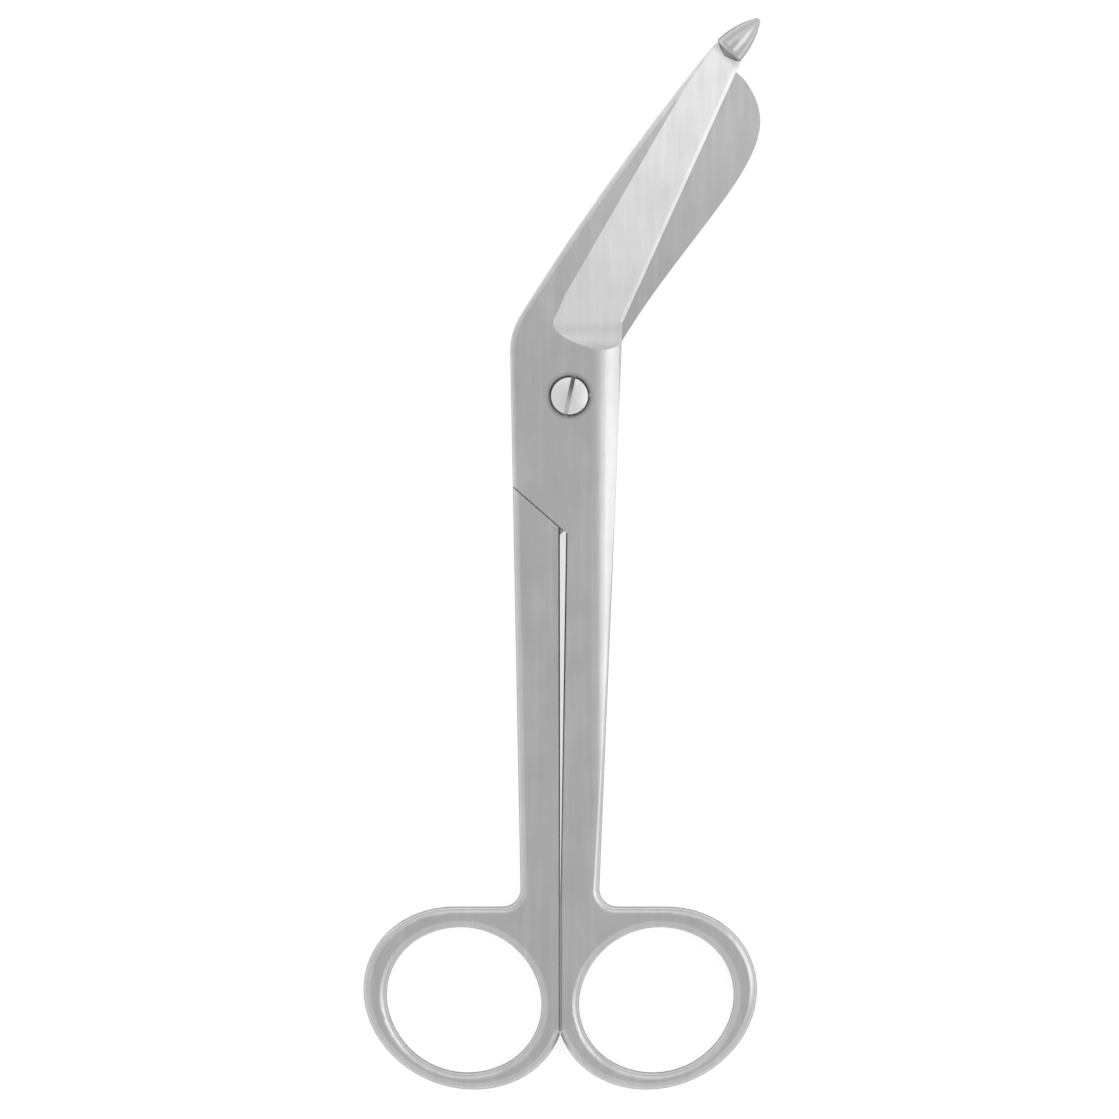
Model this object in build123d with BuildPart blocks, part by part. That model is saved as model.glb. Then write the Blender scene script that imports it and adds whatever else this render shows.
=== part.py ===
from build123d import *
from math import acos, asin, atan2, cos, degrees, hypot, radians, sin, sqrt, tan
import os

# Bandage scissors with angled blades, closed and lying on their back face.
# X = Y = 0 is the pivot axis, Z = 0 the face they lie on, +Y points to the blades.
# The front half runs from the right ring to the long left blade and lies on top at the joint.
# The rear half runs from the left ring to the short right blade and lies underneath.

# Joint
lap_thickness = 2.58
ride_gap = 0.04
left_wall_x = -9.82
left_wall_lean = -0.019
right_wall_x = 8.45
right_wall_lean = 0.0412
shoulder_y = -15.1
shoulder_slope = 0.873
shoulder_gap = 0.2
front_fall = 0.007

# Shanks and finger rings
slit_middle_x = -1.55
front_slit_top = 1.1
rear_slit_top = 0.08
ring_gap = 0.05
slit_edge_width = 0.25
slit_edge_angle = 60.0
slit_foot_y = -84.0
ring_y = -101.35
ring_long = 17.25
ring_roundness = 0.87
ring_tilt = 23.0
ring_wall_long = 4.05
ring_wall_short = 2.85
ring_opening_drop = 0.3
ring_bar_trim = 0.76
ring_root_radius = 3.0
bar_round = 1.2

# Crowned outer edge of the joint and shank
crown_radius = 9.5
crown_edge_radius = 1.3
crown_edge_angle = 75.0
crown_width_top = 5.3
crown_foot_y = -83.5
crown_width_foot = 1.2

# Front blade
bend_y = 7.4
bend_radius = 11.0
bend_angle = 33.0
front_blade_length = 63.3
front_spine_across = -15.1
front_spine_short = 3.4
nose_length = 7.1
front_edge_y = 12.4
front_edge_angle = 24.35
front_blade_angle = 35.9
front_blade_fall = 0.0203
front_fall_start = 14.0
front_spine_round = 0.8

# Rear blade, its spine as shares of the tip's distance from the pivot, with the bearings from +Y
rear_spine_points = [(0.443, 38.7), (0.667, 38.2), (0.816, 37.2), (0.922, 34.6), (0.977, 30.7)]
rear_spine_y = 9.3
rear_tip_gap = 1.9
rear_tip_bearing = 26.6
rear_spine_start_angle = 31.0
rear_tip_angle = -62.0
rear_root_x = 0.2
rear_lap_margin = 0.03
rear_lap_radius = rear_lap_margin - left_wall_x
rear_blade_angle = 33.0
rear_blade_fall = 0.02
rear_fall_start = 14.0
rear_spine_round = 0.6

# Grinding of both blades
grind_angle = 11.6
grind_runout_radius = 8.0
grind_runout_y = 12.8
edge_land = 0.38
bevel_width = 0.6
bevel_angle = 15.0

# Probe tip, a blunt button turned about its own axis
probe_turn = 8.0
probe_across = -12.33
probe_z = 3.0
probe_neck_length = 1.7
probe_neck_radius = 0.2
probe_crest = (-0.6, 2.66)
probe_length = 6.9
probe_side = (3.0, 2.1)
probe_nose_radius = 0.4
probe_flare_round = 1.4
probe_crest_round = 0.9
probe_nose_round = 0.35

# Pivot screw
head_diameter = 6.2
head_height = 1.2
head_dome = 0.35
head_gap = 0.09
head_rim_chamfer = 0.6
head_rim_angle = 100.0
neck_diameter = 4.6
neck_clearance = 0.03
thread_diameter = 4.0
thread_clearance = 0.02
seat_clearance = 0.03
tail_chamfer = 0.2
slot_width = 0.7
slot_depth = 0.8
slot_angle = 12.0

ring_short = ring_roundness * ring_long
joint_thickness = 2 * lap_thickness + ride_gap
front_lap_z = lap_thickness + ride_gap
reach = 1.5 * front_blade_length


def left_wall(y):
    """X of the outer wall on the left, straight from the bend to the left ring."""
    return left_wall_x + left_wall_lean * y


def right_wall(y):
    """X of the outer wall on the right, straight from the blade to the right ring."""
    return right_wall_x + right_wall_lean * y


def front_z(y):
    """Height of the plane that is the front face of joint, shanks and rings."""
    return joint_thickness - front_fall * (grind_runout_y - y)


def heading(angle):
    """Unit direction in plan, with the angle measured from +Y towards +X."""
    return Vector(sin(radians(angle)), cos(radians(angle)))


def front_face():
    """Plane of the front face of joint, shanks and rings, which falls gently to the rings."""
    origin = (0, grind_runout_y, joint_thickness)
    return Plane(origin=origin, x_dir=(1, 0, 0), z_dir=(0, -front_fall, 1))


def oval(half_long, half_short):
    """Oval of four arcs that run into each other smoothly, its long way along X."""
    end_radius = half_short**2 / half_long
    end_middle = half_long - end_radius
    side_radius = (end_middle**2 + half_short**2 - end_radius**2) / (2 * (half_short - end_radius))
    share = side_radius / (side_radius - end_radius)
    join_x = end_middle * share
    join_y = (side_radius - half_short) * (share - 1)
    with BuildSketch() as outline:
        with BuildLine():
            ThreePointArc((join_x, -join_y), (half_long, 0), (join_x, join_y))
            ThreePointArc((join_x, join_y), (0, half_short), (-join_x, join_y))
            ThreePointArc((-join_x, join_y), (-half_long, 0), (-join_x, -join_y))
            ThreePointArc((-join_x, -join_y), (0, -half_short), (join_x, -join_y))
        make_face()
    return outline.sketch


def ring_arm(outer_top, outer_lean, inner_top):
    """Finger ring, shank and joint column, drawn as the right one, slit middle plane at X = 0."""
    across = (ring_long * cos(radians(ring_tilt)), ring_short * sin(radians(ring_tilt)))
    upward = (ring_long * sin(radians(ring_tilt)), ring_short * cos(radians(ring_tilt)))
    half_width = hypot(*across)
    middle_x = ring_gap / 2 + half_width - ring_bar_trim
    slit_angle = -degrees(acos(ring_bar_trim / half_width - 1) + atan2(across[1], across[0]))
    crest_angle = degrees(atan2(upward[1], upward[0]))
    corner_y = ring_y + hypot(*upward)
    corner = (outer_top[0] + outer_lean * (corner_y - outer_top[1]), corner_y)
    with BuildPart() as arm:
        with BuildSketch():
            with BuildLine():
                rim = EllipticalCenterArc(
                    (middle_x, ring_y),
                    ring_long,
                    ring_short,
                    start_angle=slit_angle,
                    arc_size=crest_angle - slit_angle,
                    rotation=ring_tilt,
                )
                Polyline(
                    rim @ 1,
                    corner,
                    outer_top,
                    (inner_top[0], outer_top[1]),
                    inner_top,
                    (ring_gap / 2, slit_foot_y),
                    rim @ 0,
                )
            make_face()
            root = vertices().sort_by_distance(corner)[0]
            fillet(root, ring_root_radius)
            with Locations(Location((middle_x, ring_y - ring_opening_drop, 0), (0, 0, ring_tilt))):
                add(oval(ring_long - ring_wall_long, ring_short - ring_wall_short), mode=Mode.SUBTRACT)
        extrude(amount=joint_thickness)
        split(bisect_by=front_face(), keep=Keep.BOTTOM)
        flats = faces().filter_by(GeomType.PLANE).sort_by(Axis.Z)
        rims = flats[0].edges() + flats[-1].edges()
        slit_side = max(inner_top[0], 2 * ring_gap)
        grips = rims.filter_by(lambda e: e.center().X > slit_side and e.center().Y < shoulder_y)
        fillet(grips, bar_round)
        with BuildSketch(front_face()):
            with BuildLine(mode=Mode.PRIVATE) as slit:
                Polyline(
                    (inner_top[0] + slit_edge_width, inner_top[1] + slit_edge_width - grind_runout_y),
                    (ring_gap / 2 + slit_edge_width, slit_foot_y - grind_runout_y),
                    (ring_gap / 2 + slit_edge_width, 2 * ring_y),
                    (-bar_round, 2 * ring_y),
                    (-bar_round, inner_top[1] + slit_edge_width - grind_runout_y),
                    close=True,
                )
            make_face(slit.line.edges())
        slit_edge_depth = slit_edge_width * tan(radians(slit_edge_angle))
        extrude(amount=-slit_edge_depth, taper=90 - slit_edge_angle, mode=Mode.SUBTRACT)
    return arm.part


def crown_tool(wall, fall):
    """Cut that crowns the right outer edge, tangent to the front face, rounder at the wall."""
    radius_step = crown_radius - crown_edge_radius
    edge_share = crown_edge_radius * sin(radians(crown_edge_angle))
    crown_turn = degrees(asin((crown_width_top - edge_share) / radius_step))
    edge_middle = (
        radius_step * sin(radians(crown_turn)),
        radius_step * cos(radians(crown_turn)) - crown_radius,
    )
    rise = Vector(0, -fall, 1).normalized()
    start, end = [
        Vector(wall(y) - width, y, joint_thickness - fall * (grind_runout_y - y))
        for y, width in ((front_edge_y, crown_width_top), (crown_foot_y, crown_width_foot))
    ]
    run = end - start
    with BuildPart() as tool:
        with BuildSketch(Plane(origin=start, x_dir=rise.cross(run), z_dir=run)):
            with BuildLine():
                crown = CenterArc((0, -crown_radius), crown_radius, 90, -crown_turn)
                edge = CenterArc(
                    edge_middle,
                    crown_edge_radius,
                    90 - crown_turn,
                    crown_turn - crown_edge_angle,
                )
                Polyline(
                    edge @ 1,
                    (2 * crown_radius, (edge @ 1).Y),
                    (2 * crown_radius, crown_radius),
                    (0, crown_radius),
                    crown @ 0,
                )
            make_face()
        extrude(amount=run.length)
    return tool.part


def grind_tool(root, angle):
    """Grinding cut over a blade that lies left of its edge, with the wheel's run-out."""
    along = heading(angle)
    inward = Vector(-along.Y, along.X, tan(radians(grind_angle))).normalized()
    normal = along.cross(inward)
    across = Vector(normal.Z, 0, -normal.X).normalized()
    edge_z = front_lap_z + edge_land
    start_x = root[0] + (grind_runout_y - root[1]) * tan(radians(angle))
    start = Vector(start_x, grind_runout_y, edge_z)
    with BuildPart() as tool:
        with BuildSketch(Plane(origin=start, x_dir=normal.cross(across), z_dir=across)):
            with BuildLine():
                runout = CenterArc((0, grind_runout_radius), grind_runout_radius, 180, 90)
                Polyline(
                    runout @ 1,
                    (reach, 0),
                    (reach, 2 * grind_runout_radius),
                    (-grind_runout_radius, 2 * grind_runout_radius),
                    runout @ 0,
                )
            make_face()
        extrude(amount=reach / 2, both=True)
    return tool.part


def bevel_tool(root, angle):
    """Narrow steeper cut along the edge itself."""
    along = heading(angle)
    inward = Vector(-along.Y, along.X, 0)
    line_z = front_lap_z + edge_land + bevel_width * tan(radians(grind_angle))
    line = Vector(root[0], root[1], line_z) + inward * bevel_width
    slope = Vector(inward.X, inward.Y, tan(radians(bevel_angle))).normalized()
    with BuildPart() as tool:
        with BuildSketch(Plane(origin=line, x_dir=along, z_dir=along.cross(slope))):
            Rectangle(reach, 2 * head_diameter, align=(Align.MIN, Align.CENTER))
        extrude(amount=joint_thickness)
    return tool.part


def fall_plane(start, angle, fall):
    """Outer face of a blade, which thins it towards the tip."""
    ahead = heading(angle)
    origin = ahead * start + Vector(0, 0, front_z(ahead.Y * start))
    return Plane(origin=origin, z_dir=ahead * fall + Vector(0, 0, 1))


def joint_space(wall_x, side, low, high):
    """Room over the shoulder of a half for the lap of the other, with the shoulder's gap."""
    drop = shoulder_gap * sqrt(1 + shoulder_slope**2)
    inner_x = slit_middle_x - side * front_slit_top
    inner_y = shoulder_y - shoulder_slope * side * (wall_x - inner_x) - drop
    outer_x = wall_x + side * bar_round
    outer_y = shoulder_y + shoulder_slope * bar_round - drop
    with BuildPart() as space:
        with BuildSketch(Plane.XY.offset(low)):
            with BuildLine():
                Polyline(
                    (outer_x, outer_y),
                    (inner_x, inner_y),
                    (inner_x, 2 * front_edge_y),
                    (outer_x, 2 * front_edge_y),
                    close=True,
                )
            make_face()
        extrude(amount=high - low)
    return space.part


def turned_over(tool):
    """The same cut for the back of the rear half, which is the front turned half round Y."""
    return tool.rotate(Axis.Y, 180).moved(Location((0, 0, joint_thickness)))


# Front half
front_edge_root = (right_wall(front_edge_y), front_edge_y)
front_arm = ring_arm(
    (front_edge_root[0] - slit_middle_x, front_edge_y),
    right_wall_lean,
    (front_slit_top, shoulder_y),
)
blade_ahead = heading(front_blade_angle)
blade_across = blade_ahead.cross(Vector(0, 0, 1))
spine_end = blade_ahead * (front_blade_length - front_spine_short) + blade_across * front_spine_across
edge_ahead = heading(front_edge_angle)
nose_along = front_blade_length + nose_length - blade_ahead.dot(Vector(*front_edge_root, 0))
nose_tip = Vector(*front_edge_root, 0) + edge_ahead * (nose_along / blade_ahead.dot(edge_ahead))
lap_left = (left_wall(shoulder_y), shoulder_y)
lap_inner_x = slit_middle_x + 3 * front_slit_top
lap_inner_y = shoulder_y - shoulder_slope * (lap_inner_x - lap_left[0])

with BuildPart() as front_blade:
    with BuildSketch(Plane.XY.offset(front_lap_z)):
        with BuildLine():
            wall = Line(lap_left, (left_wall(bend_y), bend_y))
            bend = JernArc(wall @ 1, wall % 1, bend_radius, -bend_angle)
            spine = TangentArc(bend @ 1, spine_end, tangent=bend % 1)
            nose = TangentArc(spine @ 1, nose_tip, tangent=spine % 1)
            Polyline(
                nose @ 1,
                front_edge_root,
                (lap_inner_x, 0),
                (lap_inner_x, lap_inner_y),
                lap_left,
            )
        make_face()
    extrude(amount=lap_thickness)
    blade_end = Plane(origin=blade_ahead * front_blade_length, z_dir=blade_ahead)
    split(bisect_by=blade_end, keep=Keep.BOTTOM)
    split(bisect_by=front_face(), keep=Keep.BOTTOM)
    split(bisect_by=fall_plane(front_fall_start, front_blade_angle, front_blade_fall), keep=Keep.BOTTOM)
    marks = [wall @ 0.5, bend @ 0.5, spine @ 0.06, spine @ 0.6]
    rims = edges().filter_by(lambda e: e.center().Z > front_lap_z + lap_thickness / 3)
    fillet([rims.sort_by_distance(mark + (0, 0, lap_thickness))[0] for mark in marks], front_spine_round)


probe_ahead = heading(front_blade_angle + probe_turn)
probe_start = blade_ahead * front_blade_length + blade_across * probe_across + Vector(0, 0, probe_z)
with BuildPart() as probe:
    with BuildSketch(Plane(probe_start, x_dir=probe_ahead, z_dir=probe_ahead.cross(Vector(0, 0, 1)))):
        with BuildLine():
            Polyline(
                (probe_length, probe_nose_radius),
                (probe_length, 0),
                (-probe_neck_length - probe_flare_round, 0),
                (-probe_neck_length - probe_flare_round, probe_neck_radius),
                (-probe_neck_length, probe_neck_radius),
                probe_crest,
            )
            ThreePointArc(probe_crest, probe_side, (probe_length, probe_nose_radius))
        make_face()
        neck_end = (-probe_neck_length, probe_neck_radius)
        fillet(vertices().sort_by_distance(neck_end)[0], probe_flare_round)
        fillet(vertices().sort_by_distance(probe_crest)[0], probe_crest_round)
        fillet(vertices().sort_by_distance((probe_length, probe_nose_radius))[0], probe_nose_round)
    revolve(axis=Axis(probe_start, probe_ahead))

with BuildPart() as front_half:
    add(front_arm.moved(Location((slit_middle_x, 0, 0))))
    add(joint_space(right_wall(shoulder_y), 1, 0, front_lap_z), mode=Mode.SUBTRACT)
    add(front_blade.part)
    add(crown_tool(right_wall, front_fall), mode=Mode.SUBTRACT)
    add(grind_tool(front_edge_root, front_edge_angle), mode=Mode.SUBTRACT)
    add(bevel_tool(front_edge_root, front_edge_angle), mode=Mode.SUBTRACT)
    add(probe.part)
    with Locations((0, 0, front_z(0))):
        CounterSinkHole(
            head_diameter / 2 + head_gap,
            head_diameter / 2 + head_gap + head_rim_chamfer,
            head_height,
            head_rim_angle,
        )
        Hole(neck_diameter / 2 + neck_clearance)

# Rear half
rear_reach = front_blade_length - rear_tip_gap
rear_tip = rear_reach * heading(rear_tip_bearing)
rear_spine_way = [rear_reach * share * heading(bearing) for share, bearing in rear_spine_points]
rear_root_y = sqrt(rear_lap_radius**2 - rear_root_x**2)
rear_root = (rear_root_x, rear_root_y)
rear_edge_angle = degrees(atan2(rear_tip.X - rear_root_x, rear_tip.Y - rear_root_y))
lap_end_angle = degrees(acos(left_wall_x / rear_lap_radius))
lap_right = (right_wall(shoulder_y), shoulder_y)
rear_inner_x = slit_middle_x - 3 * front_slit_top
rear_inner_y = shoulder_y - shoulder_slope * (lap_right[0] - rear_inner_x)
rear_ahead = heading(rear_blade_angle)
rear_arm_top_y = -rear_lap_radius * sin(radians(lap_end_angle))
rear_arm = mirror(
    ring_arm(
        (slit_middle_x - left_wall(rear_arm_top_y), rear_arm_top_y),
        -left_wall_lean,
        (rear_slit_top, shoulder_y),
    ),
    about=Plane.YZ,
)

with BuildPart() as rear_blade:
    with BuildSketch():
        with BuildLine():
            rear_wall = Line(lap_right, (right_wall(rear_spine_y), rear_spine_y))
            rear_spine = Spline(
                rear_wall @ 1,
                *rear_spine_way,
                rear_tip,
                tangents=(heading(rear_spine_start_angle), heading(rear_tip_angle)),
            )
            Line(rear_tip, rear_root)
            lap_end = CenterArc(
                (0, 0),
                rear_lap_radius,
                degrees(atan2(rear_root_y, rear_root_x)),
                360 - lap_end_angle - degrees(atan2(rear_root_y, rear_root_x)),
            )
            Polyline(
                lap_end @ 1,
                (rear_inner_x, rear_arm_top_y),
                (rear_inner_x, rear_inner_y),
                lap_right,
            )
        make_face()
    extrude(amount=lap_thickness)
    fall_normal = rear_ahead * rear_blade_fall - Vector(0, 0, 1)
    split(bisect_by=Plane(rear_ahead * rear_fall_start, z_dir=fall_normal), keep=Keep.BOTTOM)
    marks = [rear_wall @ 0.5, rear_spine @ 0.05, rear_spine @ 0.6]
    rims = edges().filter_by(lambda e: e.center().Z < lap_thickness * 2 / 3)
    fillet([rims.sort_by_distance(mark)[0] for mark in marks], rear_spine_round)

with BuildPart() as rear_half:
    add(rear_arm.moved(Location((slit_middle_x, 0, 0))))
    add(joint_space(left_wall(shoulder_y), -1, lap_thickness, 2 * joint_thickness), mode=Mode.SUBTRACT)
    add(rear_blade.part)
    add(turned_over(crown_tool(lambda y: -left_wall(y), 0)), mode=Mode.SUBTRACT)
    add(turned_over(grind_tool((-rear_root_x, rear_root_y), -rear_edge_angle)), mode=Mode.SUBTRACT)
    add(turned_over(bevel_tool((-rear_root_x, rear_root_y), -rear_edge_angle)), mode=Mode.SUBTRACT)
    with Locations((0, 0, lap_thickness)):
        Hole(thread_diameter / 2 + thread_clearance)

# Pivot screw
head_floor_z = front_z(0) - head_height + seat_clearance
head_rim_z = front_z(0)
with BuildPart() as pivot_screw:
    with BuildSketch(Plane.XZ):
        with BuildLine():
            dome = TangentArc(
                (0, head_rim_z + head_dome), (head_diameter / 2, head_rim_z), tangent=(1, 0)
            )
            Polyline(
                dome @ 1,
                (head_diameter / 2, head_floor_z),
                (neck_diameter / 2, head_floor_z),
                (neck_diameter / 2, lap_thickness),
                (thread_diameter / 2, lap_thickness),
                (thread_diameter / 2, tail_chamfer),
                (thread_diameter / 2 - tail_chamfer, 0),
                (0, 0),
                dome @ 0,
            )
        make_face()
    revolve(axis=Axis.Z)
    with BuildSketch(Plane.XY.offset(head_rim_z + head_dome)):
        with Locations(Location((0, 0, 0), (0, 0, -slot_angle))):
            Rectangle(slot_width, 2 * head_diameter)
    extrude(amount=-slot_depth, mode=Mode.SUBTRACT)

os.makedirs("parts", exist_ok=True)
front_half.part.label = "front_half"
rear_half.part.label = "rear_half"
pivot_screw.part.label = "pivot_screw"
export_step(front_half.part, "parts/front_half.step")
export_step(rear_half.part, "parts/rear_half.step")
export_step(pivot_screw.part, "parts/pivot_screw.step")
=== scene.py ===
from math import pi, radians

import bpy
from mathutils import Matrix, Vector

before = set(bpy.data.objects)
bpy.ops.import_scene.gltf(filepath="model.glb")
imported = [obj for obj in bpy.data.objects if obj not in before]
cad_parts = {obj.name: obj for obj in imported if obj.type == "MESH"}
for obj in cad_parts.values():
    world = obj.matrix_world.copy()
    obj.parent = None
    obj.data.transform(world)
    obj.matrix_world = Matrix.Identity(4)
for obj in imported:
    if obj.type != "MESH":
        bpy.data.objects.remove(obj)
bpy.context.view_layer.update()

# Picture: the camera looks straight down on the lying scissors, metres throughout
view_middle = (-0.00168, -0.02749)
view_width = 0.18824
view_depth = 0.004
camera_height = 1.4
camera_range = 10
sensor_width = 36.0

# Light level of the studio, rising from overhead to the sides
zenith_light = 0.655
side_light = 1.0
zenith_angle = radians(3)
side_angle = radians(34)

# Softboxes: name, place, point they face, size along and across, radiance
softboxes = [
    ("softbox_right", (0.62, 0.14, 0.58), (0, 0, 0), (0.56, 0.46), 0.72),
    ("softbox_blade", (0.444, -0.078, 0.721), (0, 0, 0), (0.33, 0.33), 0.56),
    ("softbox_top", (0, 0.5, 0.6), (0, -0.09, 0), (0.6, 0.34), 0.34),
]

# Floor, just under the face the scissors lie on
floor_size = 12
floor_drop = 0.00005
floor_grey = 0.5
floor_glow = 0.7

# Steel: grey level and roughness of the two forgings and of the screw
satin_tone = 0.62
satin_roughness = 0.3
screw_tone = 0.88
screw_roughness = 0.34
edge_tint = 0.3

# Noise in the steel: periods of 1 / scale metres in X, Y and Z, detail, and the range most of it is in
streak_scale = (6000, 200, 6000)
streak_detail = 3.0
band_scale = (900, 45, 900)
band_detail = 2.0
patch_scale = (160, 120, 160)
patch_detail = 4.0
noise_low = 0.3
noise_high = 0.7

# What the noise does: share of the tone, shares of the roughness, and the relief of the streaks
patch_share = 0.05
band_share = 0.04
smooth_share = 0.8
rough_share = 1.25
relief_strength = 0.25
relief_depth = 0.00001

# Shading of the solids: facets closer to level than the angle run into each other
weld_distance = 0.000001
crease_angle = radians(32)

# Blades: a painted highlight brightens them from root to tip, and painted shade darkens the probe tip
# again
blade_root_y = 0.011
blade_tip_y = 0.056
blade_highlight_gain = 1.25
probe_direction = (0.649, 0.761, 0)
probe_start = 0.0599
probe_crest = 0.0608
probe_shade_gain = 0.74

# Painted shade in the slot of the screw, darkest at its upper end, and on the lap around its head,
# metres
slot_floor_z = 0.00475
head_face_z = 0.0049
slot_upper_y = 0.0015
slot_lower_y = -0.0012
slot_shade_darkest = 0.25
slot_shade_faintest = 0.85
head_shade_inner_radius = 0.0032
head_shade_outer_radius = 0.0042
head_shade_dark = 0.58


def new_material(name):
    """Empty node material with its output; gives its nodes, links and output."""
    material = bpy.data.materials.new(name)
    material.use_nodes = True
    nodes = material.node_tree.nodes
    nodes.clear()
    return material, nodes, material.node_tree.links, nodes.new("ShaderNodeOutputMaterial")


def map_range(nodes, value, start, end, low, high):
    """Node that turns a range of its value into another one, held at both ends."""
    node = nodes.new("ShaderNodeMapRange")
    node.inputs["From Min"].default_value = start
    node.inputs["From Max"].default_value = end
    node.inputs["To Min"].default_value = low
    node.inputs["To Max"].default_value = high
    node.id_data.links.new(value, node.inputs["Value"])
    return node.outputs["Result"]


def combined(nodes, operation, first, second):
    """Two values put together by an arithmetic operation."""
    node = nodes.new("ShaderNodeMath")
    node.operation = operation
    node.id_data.links.new(first, node.inputs[0])
    node.id_data.links.new(second, node.inputs[1])
    return node.outputs["Value"]


def product(nodes, first, second):
    """Product of two values."""
    return combined(nodes, "MULTIPLY", first, second)


def reach(nodes, place, direction):
    """Distance from the origin along a direction, in the object's own coordinates."""
    node = nodes.new("ShaderNodeVectorMath")
    node.operation = "DOT_PRODUCT"
    node.inputs[1].default_value = direction
    node.id_data.links.new(place.outputs["Object"], node.inputs[0])
    return node.outputs["Value"]


def pivot_distance(nodes, place):
    """Distance from the pivot axis."""
    flat = nodes.new("ShaderNodeVectorMath")
    flat.operation = "MULTIPLY"
    flat.inputs[1].default_value = (1, 1, 0)
    length = nodes.new("ShaderNodeVectorMath")
    length.operation = "LENGTH"
    flat.id_data.links.new(place.outputs["Object"], flat.inputs[0])
    flat.id_data.links.new(flat.outputs["Vector"], length.inputs[0])
    return length.outputs["Value"]


def blade_painted_highlight(nodes, place):
    """Painted highlight: gain in brightness of a ground blade, by the height along the object."""
    height = reach(nodes, place, (0, 1, 0))
    return map_range(nodes, height, blade_root_y, blade_tip_y, 1, blade_highlight_gain)


def front_tone(nodes, place):
    """Tone of the front half: painted highlight on the ground blade, painted shade on the probe tip and
    around the screw's head.
    """
    probe = reach(nodes, place, probe_direction)
    # Painted shade on the probe tip: it takes back most of the blade's painted highlight and dims the
    # lamp's highlight there
    probe_shade = map_range(nodes, probe, probe_start, probe_crest, 1, probe_shade_gain)
    # Painted shade on the lap around the screw's head, darkest next to the head
    radius = pivot_distance(nodes, place)
    rim_shade = map_range(nodes, radius, head_shade_inner_radius, head_shade_outer_radius, head_shade_dark, 1)
    return product(nodes, product(nodes, blade_painted_highlight(nodes, place), probe_shade), rim_shade)


def slot_painted_shade(nodes, place):
    """Painted shade in the slot of the screw, by the depth under the face of its head, darkest at the
    slot's upper end.
    """
    height = reach(nodes, place, (0, 1, 0))
    depth = reach(nodes, place, (0, 0, 1))
    # Painted shade, darkest at the upper end of the slot
    upper_shade = map_range(nodes, height, slot_lower_y, slot_upper_y, slot_shade_faintest, slot_shade_darkest)
    low = map_range(nodes, depth, slot_floor_z, head_face_z, 1, 0)
    blend = nodes.new("ShaderNodeMix")
    blend.inputs["A"].default_value = 1
    blend.id_data.links.new(low, blend.inputs["Factor"])
    blend.id_data.links.new(upper_shade, blend.inputs["B"])
    return blend.outputs["Result"]


def noise(nodes, place, scale, detail):
    """Noise over the object's own coordinates, with a scale for each axis."""
    stretch = nodes.new("ShaderNodeMapping")
    stretch.inputs["Scale"].default_value = scale
    texture = nodes.new("ShaderNodeTexNoise")
    texture.inputs["Scale"].default_value = 1.0
    texture.inputs["Detail"].default_value = detail
    links = nodes.id_data.links
    links.new(place.outputs["Object"], stretch.inputs["Vector"])
    links.new(stretch.outputs["Vector"], texture.inputs["Vector"])
    return texture.outputs["Fac"]


def steel(name, tone, roughness, painted_light_tone):
    """Brushed steel with fine streaks and faint bands along Y, patches of handling, and a tone of
    painted light and shade over it.
    """
    material, nodes, links, output = new_material(name)
    shader = nodes.new("ShaderNodeBsdfPrincipled")
    shader.inputs["Metallic"].default_value = 1.0
    shader.inputs["Specular Tint"].default_value = (edge_tint, edge_tint, edge_tint, 1)
    place = nodes.new("ShaderNodeTexCoord")
    streaks = noise(nodes, place, streak_scale, streak_detail)
    bands = noise(nodes, place, band_scale, band_detail)
    patches = noise(nodes, place, patch_scale, patch_detail)

    darkest = tone * (1 - patch_share)
    lightest = tone * (1 + patch_share)
    patchy = map_range(nodes, patches, noise_low, noise_high, darkest, lightest)
    banded = map_range(nodes, bands, noise_low, noise_high, 1 - band_share, 1 + band_share)
    shade = product(nodes, product(nodes, patchy, banded), painted_light_tone(nodes, place))
    grey = nodes.new("ShaderNodeCombineColor")
    for channel in ("Red", "Green", "Blue"):
        links.new(shade, grey.inputs[channel])
    links.new(grey.outputs["Color"], shader.inputs["Base Color"])

    dullness = map_range(nodes, streaks, 0, 1, roughness * smooth_share, roughness * rough_share)
    links.new(dullness, shader.inputs["Roughness"])

    bump = nodes.new("ShaderNodeBump")
    bump.inputs["Strength"].default_value = relief_strength
    bump.inputs["Distance"].default_value = relief_depth
    links.new(streaks, bump.inputs["Height"])
    links.new(bump.outputs["Normal"], shader.inputs["Normal"])
    links.new(shader.outputs["BSDF"], output.inputs["Surface"])
    return material


def finish_node(name, material):
    """Gives a solid its material, and normals that run smoothly from flat faces into rounded edges."""
    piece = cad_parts[name]
    piece.data.materials.clear()
    piece.data.materials.append(material)
    weld = piece.modifiers.new("weld", "WELD")
    weld.merge_threshold = weld_distance
    creases = piece.modifiers.new("creases", "EDGE_SPLIT")
    creases.split_angle = crease_angle
    normals = piece.modifiers.new("normals", "WEIGHTED_NORMAL")
    normals.keep_sharp = True


def floor_material():
    """White floor: a glow that the eye and reflections see, over a matte grey that takes the shadow."""
    material, nodes, links, output = new_material("white_floor")
    matte = nodes.new("ShaderNodeBsdfDiffuse")
    matte.inputs["Color"].default_value = (floor_grey, floor_grey, floor_grey, 1)
    glow = nodes.new("ShaderNodeEmission")
    path = nodes.new("ShaderNodeLightPath")
    seen = path.outputs["Is Camera Ray"]
    for ray in ("Is Glossy Ray", "Is Transmission Ray"):
        seen = combined(nodes, "MAXIMUM", seen, path.outputs[ray])
    both = nodes.new("ShaderNodeAddShader")
    links.new(map_range(nodes, seen, 0, 1, 0, floor_glow), glow.inputs["Strength"])
    links.new(matte.outputs["BSDF"], both.inputs[0])
    links.new(glow.outputs["Emission"], both.inputs[1])
    links.new(both.outputs["Shader"], output.inputs["Surface"])
    return material


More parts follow.
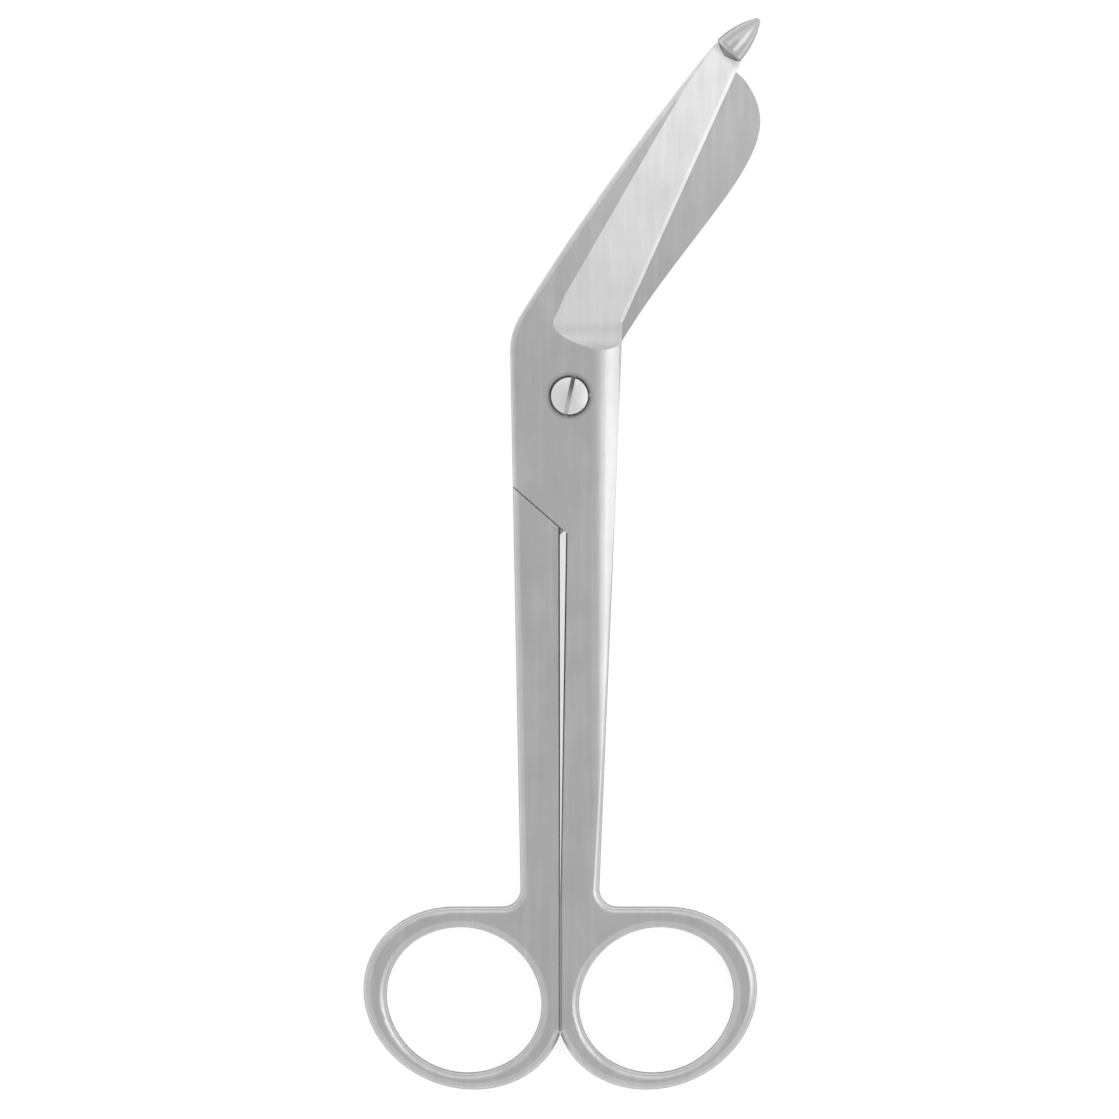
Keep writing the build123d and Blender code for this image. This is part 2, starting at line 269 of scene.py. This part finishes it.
def softbox(name, place, target, size, radiance):
    """Rectangular soft lamp of an even brightness, turned to a point of the object."""
    light = bpy.data.lights.new(name, "AREA")
    light.shape = "RECTANGLE"
    light.size, light.size_y = size
    light.energy = radiance * pi * size[0] * size[1]
    lamp = bpy.data.objects.new(name, light)
    bpy.context.scene.collection.objects.link(lamp)
    lamp.location = place
    lamp.rotation_euler = (Vector(target) - Vector(place)).to_track_quat("-Z", "Y").to_euler()


# Finish of the three pieces
finish_node("front_half", steel("satin_front", satin_tone, satin_roughness, front_tone))
finish_node("rear_half", steel("satin_rear", satin_tone, satin_roughness, blade_painted_highlight))
finish_node("pivot_screw", steel("bright_steel", screw_tone, screw_roughness, slot_painted_shade))

# Floor
bpy.ops.mesh.primitive_plane_add(size=floor_size, location=(0, 0, -floor_drop))
floor = bpy.context.object
floor.name = "floor"
floor.data.materials.append(floor_material())

# Studio: a white room that gets darker overhead, with the softboxes
world = bpy.data.worlds.new("studio")
bpy.context.scene.world = world
world.use_nodes = True
nodes = world.node_tree.nodes
links = world.node_tree.links
nodes.clear()
sky = nodes.new("ShaderNodeTexCoord")
axes = nodes.new("ShaderNodeSeparateXYZ")
slant = nodes.new("ShaderNodeMath")
slant.operation = "ARCCOSINE"
background = nodes.new("ShaderNodeBackground")
world_output = nodes.new("ShaderNodeOutputWorld")
links.new(sky.outputs["Generated"], axes.inputs["Vector"])
links.new(axes.outputs["Z"], slant.inputs[0])
room = map_range(nodes, slant.outputs["Value"], zenith_angle, side_angle, zenith_light, side_light)
links.new(room, background.inputs["Strength"])
links.new(background.outputs["Background"], world_output.inputs["Surface"])
for box in softboxes:
    softbox(*box)

# Camera
camera_data = bpy.data.cameras.new("camera")
camera_data.sensor_width = sensor_width
camera_data.lens = sensor_width * (camera_height - view_depth) / view_width
camera_data.clip_end = camera_range
camera = bpy.data.objects.new("camera", camera_data)
camera.location = (*view_middle, camera_height)
bpy.context.scene.collection.objects.link(camera)
bpy.context.scene.camera = camera
bpy.context.scene.view_settings.view_transform = "Standard"
